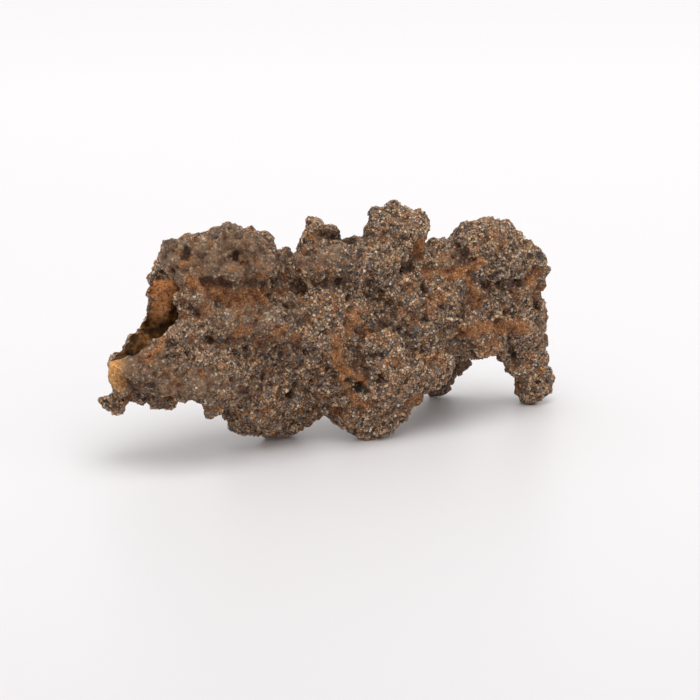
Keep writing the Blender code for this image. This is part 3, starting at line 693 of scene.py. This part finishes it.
def dirt(points, front, hollow, lining):
    """Where ochre silt is caked on by the marks, and where any silt or dust lies; hollows hold more of it."""
    caked = ragged(covered(points, front.spots(SILT_MARKS)), points, 0.55, 6)
    caked *= np.clip(0.9 + 1.0 * wander(points, 0.35, 26, 2), 0.3, 1.15)
    caked = np.maximum(caked, ragged(covered(points, (), front.paths(SILT_LINES)), points, 0.9, 27))
    loose = np.clip(0.9 * wander(points, 2.6, 7) + 0.8 * wander(points, 0.6, 17, 2) - 0.28, 0, 0.85)
    patches = np.clip(1.6 * wander(points, 3.2, 33, 3) + 0.6 * wander(points, 0.6, 34, 2) - 0.3, 0, 0.95)
    silt = np.maximum(caked, np.maximum(loose, at_back(points) * patches)) + np.clip(0.8 * hollow, -0.2, 0.3)
    # The dust marks carry dust whose pale colour is partly painted light.
    dust_and_painted_light = covered(points, front.spots(DUST_AND_PAINTED_LIGHT_MARKS)) * (1 + 0.5 * wander(points, 0.8, 8, 2))
    # Deeper than the mouth, 13 to 17 mm left of the middle, the whole wall is thinly dusted.
    inner = np.clip((points[:, 0] + 17) / 4, 0, 1) * (0.35 + 0.5 * wander(points, 1.5, 35, 2))
    return caked, np.clip(np.where(lining > 0.5, np.maximum(dust_and_painted_light, inner), silt), 0, 1)


def shading(points, front, hollow, carved):
    """How much lighter or darker than usual each place is, with painted shade in its hollows, pits and holes."""
    tone = spread(points, front.spots(PALE_SAND_AND_HIGHLIGHT_MARKS)) - spread(points, front.spots(DARK_SAND_AND_SHADE_MARKS))
    # Painted shade: hollows below the smoothed skin are darkened, and so are the carved pits and grooves and the deep
    # holes.
    tone += 0.35 * wander(points, 2.6, 5) + 0.55 * wander(points, 1.1, 15, 3) - np.clip(3.4 * hollow, -0.3, 1.6)
    return np.maximum(tone - 0.6 * carved, -1) - 0.6 * covered(points, front.spots(PAINTED_HOLE_SHADE_MARKS))


def fused_body():
    """The whole body: the solid's shape with its relief, and its measures of dirt, tone with painted shade, clay, glass
    and crust.
    """
    solid = merged_copy(frame["nodes"]["fulgurite"], "solid")
    low, high = (np.array(corner) / MM for corner in CAD_BOX)
    low, high = low - BOX_ROOM, high + BOX_ROOM
    front = Front(solid)
    skin = remeshed(solid, "skin", SKIN_GRAIN, SKIN_EASING)
    shape_skin(skin, front, low, high)
    body = remeshed(skin, "fused_body", BODY_GRAIN, BODY_EASING, BODY_FACES)
    mesh = body.data
    front = Front(body)
    points = places(mesh)
    lining = glass_cover(points, facings(mesh), front, 1.3)
    clay = clay_cover(points, front)
    raised(mesh, fine_relief(points, lining, clay), low, high)

    hollow = sunken(body)
    carved = np.clip(carving(points, front), 0, 1)
    caked, silt = dirt(points, front, hollow, lining)
    clay = np.clip(clay + 0.35 * wander(points, 1.1, 16, 2) * np.clip(3 * clay, 0, 1), 0, 1)
    amber = np.clip(spread(points, front.spots(AMBER_MARKS)), 0, 1)
    # Grains are lost from hollows deeper than 0.22 mm, and from the carved places.
    bare = np.maximum(2.5 * (hollow - 0.22), 0.7 * carved).clip(0, 0.9)
    # Grains stand on the crust alone: none on glass, few on clay, in holes and on the lip, and fewer on caked silt.
    store(mesh, "silt", silt)
    store(mesh, "tone", shading(points, front, hollow, carved))
    store(mesh, "amber", amber)
    store(mesh, "clay", clay)
    store(mesh, "crust", np.clip(1 - 2 * lining - 0.95 * clay - 0.25 * caked - bare - 0.6 * amber, 0, 1))
    mesh.materials.clear()
    mesh.materials.append(fused_sand_matrix())
    mesh.materials.append(silica_glass_lining())
    glassy = np.array([np.mean(lining[list(p.vertices)]) > 0.5 for p in mesh.polygons], np.int32)
    mesh.polygons.foreach_set("material_index", glassy)
    mesh.polygons.foreach_set("use_smooth", np.ones(len(mesh.polygons), bool))
    return body


# ---------------------------------------------------------------- the sand grains


def grain_shapes():
    """A few worn sand grains of unit width, each the hull of a few scattered points."""
    group = bpy.data.collections.new("grain shapes")
    bpy.context.scene.collection.children.link(group)
    for number in range(GRAIN_SHAPES):
        dice = random.Random(40 + number)
        shape = bmesh.new()
        for step in range(GRAIN_KNEES):
            height = 1 - (2 * step + 1) / GRAIN_KNEES
            turn = step * 2.4 + dice.uniform(-0.35, 0.35)
            flat = math.sqrt(1 - height * height)
            reach = 0.5 * dice.uniform(0.8, 1.1)
            shape.verts.new((reach * flat * math.cos(turn), reach * flat * math.sin(turn), reach * height))
        bmesh.ops.convex_hull(shape, input=shape.verts)
        bmesh.ops.triangulate(shape, faces=shape.faces)
        bmesh.ops.recalc_face_normals(shape, faces=shape.faces)
        for face in shape.faces:
            face.smooth = True
        mesh = bpy.data.meshes.new("grain")
        shape.to_mesh(mesh)
        shape.free()
        grain = bpy.data.objects.new(f"grain_{number}", mesh)
        group.objects.link(grain)
    return group


def grain_tree(shapes):
    """Scatters one kind of sand grain over the crust; all kinds share one scatter, so none overlap."""
    tree = bpy.data.node_groups.new("sand grains", "GeometryNodeTree")
    face = tree.interface
    face.new_socket("Skin", in_out="INPUT", socket_type="NodeSocketGeometry")
    for name, kind in (("Spacing", "Float"), ("Size", "Float"), ("Sink", "Float"), ("Kind", "Int"), ("Seed", "Int")):
        face.new_socket(name, in_out="INPUT", socket_type="NodeSocket" + kind)
    face.new_socket("Grain", in_out="INPUT", socket_type="NodeSocketMaterial")
    face.new_socket("Grains", in_out="OUTPUT", socket_type="NodeSocketGeometry")
    given = add(tree, "NodeGroupInput").outputs
    crust, silt, tone = (
        add(tree, "GeometryNodeInputNamedAttribute", {"Name": name}).outputs["Attribute"]
        for name in ("crust", "silt", "tone")
    )
    # More points than the spacing lets stay, so that the crust is packed full.
    area = add(tree, "Math", {0: given["Spacing"], 1: -2.0}, operation="POWER")
    most = add(tree, "Math", {0: area, 1: 3.0}, operation="MULTIPLY")
    scatter = add(
        tree,
        "GeometryNodeDistributePointsOnFaces",
        {
            "Mesh": given["Skin"],
            "Distance Min": given["Spacing"],
            "Density Max": most,
            "Density Factor": crust,
            "Seed": given["Seed"],
        },
        distribute_method="POISSON",
    )
    depth = add(tree, "FunctionNodeRandomValue", {2: -1.8, 3: -0.2, "Seed": 17}).outputs[1]
    sunk = add(tree, "Math", {0: depth, 1: given["Sink"]}, operation="MULTIPLY")
    shift = add(tree, "VectorMath", {0: scatter.outputs["Normal"], "Scale": sunk}, operation="SCALE")
    bedded = add(tree, "GeometryNodeSetPosition", {"Geometry": scatter.outputs["Points"], "Offset": shift})
    luck = add(tree, "FunctionNodeRandomValue", {"Seed": 11}).outputs[1]
    shade = add(tree, "FunctionNodeRandomValue", {"Seed": 12}).outputs[1]
    rust_share = add(tree, "Math", {0: silt, 1: 0.55, 2: 0.055}, operation="MULTIPLY_ADD")
    rusty = add(tree, "Math", {0: luck, 1: rust_share}, operation="LESS_THAN")
    # The tone's painted shade and highlight also pick darker or paler kinds of grain.
    toned = add(tree, "Math", {0: tone, 1: 0.30, 2: shade}, operation="MULTIPLY_ADD")
    kind = 0.0
    for edge in KIND_EDGES:
        step = add(tree, "Math", {0: toned, 1: edge}, operation="GREATER_THAN")
        kind = add(tree, "Math", {0: kind, 1: step}, operation="ADD")
    # Rusty is the last kind, whatever the tone.
    left = add(tree, "Math", {0: float(len(KIND_EDGES) + 1), 1: kind}, operation="SUBTRACT")
    final = add(tree, "Math", {0: left, 1: rusty, 2: kind}, operation="MULTIPLY_ADD")
    other = add(tree, "Math", {0: final, 1: given["Kind"], 2: 0.25}, operation="COMPARE")
    drop = add(tree, "Math", {0: 1.0, 1: other}, operation="SUBTRACT")
    kept = add(tree, "GeometryNodeDeleteGeometry", {"Geometry": bedded, "Selection": drop}, domain="POINT")
    turn, stretch = (
        add(tree, "FunctionNodeRandomValue", {0: (low,) * 3, 1: (high,) * 3, "Seed": seed}, data_type="FLOAT_VECTOR")
        for low, high, seed in ((0.0, 6.28, 14), (0.70, 1.25, 15))
    )
    fine = add(tree, "Math", {0: silt, 1: -0.22, 2: 1.0}, operation="MULTIPLY_ADD")
    mixed = add(tree, "FunctionNodeRandomValue", {2: 0.55, 3: 1.2, "Seed": 18}).outputs[1]
    fine = add(tree, "Math", {0: fine, 1: mixed}, operation="MULTIPLY")
    width = add(tree, "Math", {0: fine, 1: given["Size"]}, operation="MULTIPLY")
    scale = add(tree, "VectorMath", {0: stretch, "Scale": width}, operation="SCALE")
    whole = {"Collection": shapes, "Separate Children": True, "Reset Children": True}
    shapes_in = add(tree, "GeometryNodeCollectionInfo", whole)
    each = {"Points": kept, "Instance": shapes_in, "Pick Instance": True, "Rotation": turn, "Scale": scale}
    placed = add(tree, "GeometryNodeInstanceOnPoints", each)
    tint = add(tree, "FunctionNodeRandomValue", {"Seed": 16}).outputs[1]
    shaded = {"Geometry": placed, "Name": "tint", "Value": tint}
    tinted = add(tree, "GeometryNodeStoreNamedAttribute", shaded, data_type="FLOAT", domain="INSTANCE")
    real = add(tree, "GeometryNodeRealizeInstances", {"Geometry": tinted})
    painted = add(tree, "GeometryNodeSetMaterial", {"Geometry": real, "Material": given["Grain"]})
    add(tree, "NodeGroupOutput", {"Grains": painted})
    return tree


def grains(body, tree, name, kind, material):
    """One kind of grain over the whole crust, as one plain mesh."""
    bed = new_object(name, body.data.copy())
    bed.data.materials.clear()
    scatter = bed.modifiers.new("grains", "NODES")
    scatter.node_group = tree
    given = {
        "Spacing": GRAIN_SPACING * MM,
        "Size": GRAIN_SIZE * MM,
        "Sink": GRAIN_SINK * MM,
        "Kind": kind,
        "Seed": 5,
        "Grain": material,
    }
    for socket in tree.interface.items_tree:
        if socket.in_out == "INPUT" and socket.name in given:
            scatter[socket.identifier] = given[socket.name]
    item = settled(bed, name)
    points = places(item.data)
    points[:, 2] = np.maximum(points[:, 2], FLOOR_GAP)
    set_places(item.data, points)
    map_grains(item.data, points)
    return item


def map_grains(mesh, points):
    """A texture map with one square for each grain, which holds the grain as it is seen from above."""
    groups = points.reshape(-1, GRAIN_KNEES, 3)
    middle = groups.mean(1, keepdims=True)
    size = np.abs(groups - middle).max((1, 2), keepdims=True) * 2.3
    flat = ((groups - middle) / size)[:, :, :2] + 0.5
    side = math.ceil(math.sqrt(len(groups)))
    number = np.arange(len(groups))
    corner = np.stack([number % side, number // side], 1)[:, None]
    spots = ((corner + flat) / side).reshape(-1, 2)
    loops = np.empty(len(mesh.loops), np.int32)
    mesh.loops.foreach_get("vertex_index", loops)
    layer = mesh.uv_layers.new(name="OFBake")
    layer.data.foreach_set("uv", spots[loops].ravel())


# ---------------------------------------------------------------- materials


def new_material(name):
    material = bpy.data.materials.new(name)
    material.use_nodes = True
    material.node_tree.nodes.clear()
    return material, material.node_tree


def finish_material(tree, shader):
    add(tree, "OutputMaterial", {"Surface": shader})


def coated(tree, ground, coats):
    """A ground colour under its coats: where each one lies, how much of the ground it can hide, and its colour."""
    for lies, most, shade in coats:
        cover = add(tree, "Math", {0: lies, 1: most}, operation="MULTIPLY")
        ground = add(tree, "Mix", {0: cover, 6: ground, 7: shade}, data_type="RGBA").outputs[2]
    return ground


def shaded_by_tone(tree, shade):
    """The colour made lighter or darker with the whole patch's tone and its painted shade and highlight, and browner
    where the tone is darkest.
    """
    tone = add(tree, "Attribute", attribute_name="tone").outputs["Fac"]
    value = add(tree, "Math", {0: tone, 1: 0.50, 2: 0.97}, operation="MULTIPLY_ADD")
    # Painted shade turns browner as it deepens.
    browning = add(tree, "MapRange", {"Value": tone, "From Min": -0.1, "From Max": -1.0})
    stained_and_shaded = {0: browning, 6: shade, 7: colour("#ffe6d0")}
    brown = add(tree, "Mix", stained_and_shaded, data_type="RGBA", blend_type="MULTIPLY").outputs[2]
    return add(tree, "HueSaturation", {"Color": brown, "Value": value})


# The sand's colours: buried grains, some of them rusty; clay; ochre silt; and honey-coloured glass.
BURIED_SHADES = [
    (0.0, "#271f1a"), (0.15, "#4a3f39"), (0.30, "#77706c"), (0.40, "#664c36"), (0.55, "#8f7052"),
    (0.70, "#b08e6b"), (0.80, "#96633a"), (0.86, "#70492c"), (0.92, "#baa388"), (1.0, "#d3c4b0"),
]
CLAY_SHADES = [
    (0.33, "#1c1510"), (0.41, "#614732"), (0.46, "#98704b"), (0.50, "#4c3a2e"), (0.54, "#8e745c"),
    (0.59, "#574a41"), (0.65, "#cca07a"),
]
SILT_SHADES = [(0.34, "#352010"), (0.43, "#794a24"), (0.54, "#ab6c36"), (0.66, "#d69654")]
HONEY_SHADES = [(0.36, "#8a5522"), (0.50, "#d6954c"), (0.64, "#f3c78c")]


def fused_sand_matrix():
    """Sand half melted into clay by lightning: dull buried grains with seams round them darkened as painted shade,
    washed with clay, stained ochre where silt has lodged, and honey-coloured where the glass at the lip is clean.
    """
    material, tree = new_material("half_melted_sand")
    place = add(tree, "TexCoord").outputs["Object"]
    silt, clay, amber = (
        add(tree, "Attribute", attribute_name=part).outputs["Fac"] for part in ("silt", "clay", "amber")
    )
    # Buried grains 0.3 mm across, one shade each.
    wobble = add(tree, "TexNoise", {"Vector": place, "Scale": 1 / (0.5 * MM), "Detail": 2.0})
    shift = add(tree, "VectorMath", {0: wobble.outputs["Color"], "Scale": 0.25 * MM}, operation="SCALE")
    bent_place = add(tree, "VectorMath", {0: place, 1: shift})
    packing = {"Vector": bent_place, "Scale": 1 / (0.31 * MM)}
    grain = add(tree, "TexVoronoi", packing)
    seam = add(tree, "TexVoronoi", packing, feature="DISTANCE_TO_EDGE")
    luck = add(tree, "SeparateColor", {"Color": grain.outputs["Color"]})
    sand = add(tree, "ValToRGB", {"Fac": luck}, stops=BURIED_SHADES)
    # Clay dries in smears about 1 mm long, and silt in crumbs a quarter as wide.
    smeared = {"Vector": place, "Scale": 1 / (0.7 * MM), "Detail": 7.0, "Roughness": 0.75, "Distortion": 2.0}
    wash = add(tree, "ValToRGB", {"Fac": add(tree, "TexNoise", smeared)}, stops=CLAY_SHADES)
    crumbled = {"Vector": place, "Scale": 1 / (0.25 * MM), "Detail": 4.0, "Roughness": 0.7, "Distortion": 0.8}
    crumbs = add(tree, "TexNoise", crumbled)
    ochre, honey = (add(tree, "ValToRGB", {"Fac": crumbs}, stops=ramp) for ramp in (SILT_SHADES, HONEY_SHADES))
    # The tone adds painted shade and highlight here too.
    stained_and_shaded = shaded_by_tone(tree, coated(tree, sand, [(clay, 0.95, wash), (silt, 0.85, ochre)]))
    # Painted shade: the seams round the grains are darkened as shade between them, but clay fills them.
    shallow = add(tree, "Math", {0: clay, 1: 0.45, 2: 0.25}, operation="MULTIPLY_ADD")
    edge = add(tree, "MapRange", {"Value": seam, "From Max": 0.16, "To Min": shallow})
    stained_and_shaded = add(tree, "HueSaturation", {"Color": stained_and_shaded, "Value": edge})
    glow = coated(tree, stained_and_shaded, [(amber, 1.0, honey)])
    round_top = add(tree, "MapRange", {"Value": seam, "From Max": 0.25}, interpolation_type="SMOOTHSTEP")
    bump = add(tree, "Bump", {"Height": round_top, "Strength": 0.8, "Distance": 0.07 * MM})
    shader = add(tree, "BsdfPrincipled", {"Base Color": glow, "Roughness": 0.75, "Normal": bump})
    finish_material(tree, shader)
    return material


GLASS_SHADES = [(0.3, "#1d1107"), (0.5, "#402810"), (0.7, "#7d5428")]
# Ochre dust, painted pale to stand for light on the hollow's shaded rear wall.
DUST_AND_PAINTED_LIGHT_SHADES = [(0.34, "#b4642e"), (0.46, "#ffa866"), (0.64, "#ffca98")]


def silica_glass_lining():
    """The hollow's wall, melted right through: dark bottle-brown glass, burst bubbles in painted shade, ochre dust
    painted pale as light.
    """
    material, tree = new_material("silica_glass_lining")
    place = add(tree, "TexCoord").outputs["Object"]
    silt = add(tree, "Attribute", attribute_name="silt").outputs["Fac"]
    # Streaks under 1 mm wide, and burst bubbles 0.2 mm across, their middles darkened as painted shade.
    streaks = add(tree, "TexNoise", {"Vector": place, "Scale": 1 / (0.8 * MM), "Detail": 5.0})
    bubbles = add(tree, "TexVoronoi", {"Vector": place, "Scale": 1 / (0.24 * MM)})
    glass = add(tree, "ValToRGB", {"Fac": streaks}, stops=GLASS_SHADES)
    crumbs = add(tree, "TexNoise", {"Vector": place, "Scale": 1 / (0.3 * MM), "Detail": 5.0})
    # The dust's pale colour is partly painted light.
    dust_and_painted_light = add(tree, "ValToRGB", {"Fac": crumbs}, stops=DUST_AND_PAINTED_LIGHT_SHADES)
    dusted = coated(tree, glass, [(silt, 1.0, dust_and_painted_light)])
    # Painted shade: each burst bubble darkens toward its middle.
    open_hole = add(tree, "MapRange", {"Value": bubbles, "From Min": 0.15, "From Max": 0.45, "To Min": 0.5})
    pitted = add(tree, "HueSaturation", {"Color": dusted, "Value": open_hole})
    shine = add(tree, "MapRange", {"Value": silt, "To Min": 0.6, "To Max": 0.95})
    bump = add(tree, "Bump", {"Height": open_hole, "Strength": 0.6, "Distance": 0.08 * MM})
    satin = {"Base Color": pitted, "Roughness": shine, "Specular IOR Level": 0.08, "Normal": bump}
    shader = add(tree, "BsdfPrincipled", satin)
    finish_material(tree, shader)
    return material


# Thin clay and rust on a grain, from the darkest grain to the lightest.
FILM_SHADES = [(0.0, "#4f3b2d"), (0.45, "#765a42"), (0.7, "#7c695b"), (1.0, "#9f7e5e")]
RUST_SHADES = [(0.0, "#5e371a"), (0.5, "#9c5f2c"), (1.0, "#d08c48")]


def grain_material(name, stops, roughness):
    """One kind of sand grain: a hard worn mineral, each grain its own shade, under a film of clay or silt."""
    material, tree = new_material(name)
    tint, silt, clay, amber = (
        add(tree, "Attribute", attribute_name=part).outputs["Fac"]
        for part in ("tint", "silt", "clay", "amber")
    )
    shade, film, browning = (
        add(tree, "ValToRGB", {"Fac": tint}, stops=ramp) for ramp in (stops, FILM_SHADES, RUST_SHADES)
    )
    coats = [(clay, 0.75, film), (silt, 0.85, browning), (amber, 1.0, colour("#e2a660"))]
    # The tone adds painted shade and highlight to each grain.
    toned = shaded_by_tone(tree, coated(tree, shade, coats))
    shader = add(tree, "BsdfPrincipled", {"Base Color": toned, "Roughness": roughness, "IOR": 1.54})
    finish_material(tree, shader)
    return material


# Each kind's piece, its mineral, its shades from dark to light, and how dull it is. Quartz breaks and wears glassy,
# and feldspar and stained grains are duller.
GRAIN_KINDS = [
    ("slate_grains", "smoky_quartz_grain", [(0.0, "#30241b"), (0.5, "#5c514a"), (1.0, "#8e8680")], 0.45),
    ("umber_grains", "heat_darkened_grain", [(0.0, "#604832"), (0.5, "#8f7050"), (1.0, "#ad8d6c")], 0.6),
    ("tan_grains", "feldspar_grain", [(0.0, "#8c6c4f"), (0.5, "#a98764"), (1.0, "#c09c77")], 0.6),
    ("pale_grains", "clear_quartz_grain", [(0.0, "#a0876c"), (0.7, "#b59c80"), (1.0, "#d8c5ad")], 0.5),
    ("rusty_grains", "iron_stained_grain", [(0.0, "#8a5228"), (0.5, "#b47038"), (1.0, "#d9944e")], 0.6),
]


# The table from its back to its front, and the walls from behind the camera to behind the table.
# The table is painted a little greyer toward its front, as shade where the light falls off.
TABLE_SHADES = [(0.0, "#f4f2f3"), (0.35, "#eceaeb"), (0.69, "#e7e5e6"), (1.0, "#d8d6d7")]
WALL_SHADES = [(0.1, "#fffefe"), (0.5, "#cfcece"), (0.8, "#cfcece"), (0.975, "#fffefe")]


def pale_table():
    """Smooth matt acrylic sheet: almost white, painted a little greyer toward its front as shade, with a faint blurred
    reflection.
    """
    material, tree = new_material("satin_acrylic_sheet")
    place = add(tree, "TexCoord").outputs["Object"]
    near = tuple(-part for part in FAR)
    forward = add(tree, "VectorMath", {0: place, 1: near}, operation="DOT_PRODUCT")
    cloud = add(tree, "TexNoise", {"Vector": place, "Scale": 6.0})
    # Painted shade: the sheet greys toward the front.
    ahead = add(tree, "MapRange", {"Value": forward.outputs["Value"], "From Min": -0.2, "From Max": 0.12})
    uneven = add(tree, "Math", {0: cloud, 1: 0.02, 2: ahead}, operation="MULTIPLY_ADD")
    shade = add(tree, "ValToRGB", {"Fac": uneven}, stops=TABLE_SHADES)
    shader = add(tree, "BsdfPrincipled", {"Base Color": shade, "Roughness": 0.45, "IOR": 1.45})
    finish_material(tree, shader)
    return material


# ---------------------------------------------------------------- the studio


def floor():
    mesh = bpy.data.meshes.new("table_top")
    shape = bmesh.new()
    bmesh.ops.create_grid(shape, x_segments=2, y_segments=2, size=TABLE_HALF)
    shape.to_mesh(mesh)
    shape.free()
    mesh.materials.append(pale_table())
    new_object("table_top", mesh)


def camera():
    """Low and to the left front, with a long lens, so the open end comes nearer than the pinched one."""
    back = view_frame()[2]
    lens = bpy.data.cameras.new("camera")
    lens.lens = LENS
    lens.sensor_width = SENSOR
    lens.clip_start = 0.01
    item = new_object("camera", lens)
    item.location = (AIM + back * AWAY) * MM
    item.rotation_euler = (-back).to_track_quat("-Z", "Y").to_euler()
    bpy.context.scene.camera = item


def soft_box(name, place, size, power):
    """A square soft box that points at the middle of the table."""
    lamp = bpy.data.lights.new(name, "AREA")
    lamp.shape = "RECTANGLE"
    lamp.size = lamp.size_y = size
    lamp.energy = power
    item = new_object(name, lamp)
    item.location = place
    item.rotation_euler = (-Vector(place)).to_track_quat("-Z", "Y").to_euler()


def studio():
    """A white room, brightest behind the table and behind the camera, and one big soft box above."""
    sky = bpy.data.worlds.new("studio")
    bpy.context.scene.world = sky
    sky.use_nodes = True
    tree = sky.node_tree
    facing = add(tree, "TexCoord").outputs["Generated"]
    along_view = add(tree, "VectorMath", {0: facing, 1: FAR}, operation="DOT_PRODUCT")
    place = add(tree, "MapRange", {"Value": along_view.outputs["Value"], "From Min": -1.0})
    walls = add(tree, "ValToRGB", {"Fac": place}, stops=WALL_SHADES)
    tree.links.new(walls.outputs[0], tree.nodes["Background"].inputs["Color"])
    tree.nodes["Background"].inputs["Strength"].default_value = SKY_STRENGTH
    soft_box("top_box", TOP_BOX_PLACE, TOP_BOX_SIZE, TOP_BOX_POWER)
    bpy.context.scene.view_settings.view_transform = "Standard"


# ---------------------------------------------------------------- putting it together


def main():
    camera()
    studio()
    floor()
    body = fused_body()
    pieces = [body]
    shapes = grain_shapes()
    tree = grain_tree(shapes)
    for kind, (name, stone, stops, roughness) in enumerate(GRAIN_KINDS):
        pieces.append(grains(body, tree, name, kind, grain_material(stone, stops, roughness)))
    for grain in list(shapes.objects):
        bpy.data.objects.remove(grain, do_unlink=True)
    bpy.data.collections.remove(shapes)
    for piece in pieces:
        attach(piece, "root")
    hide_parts("fulgurite")


main()
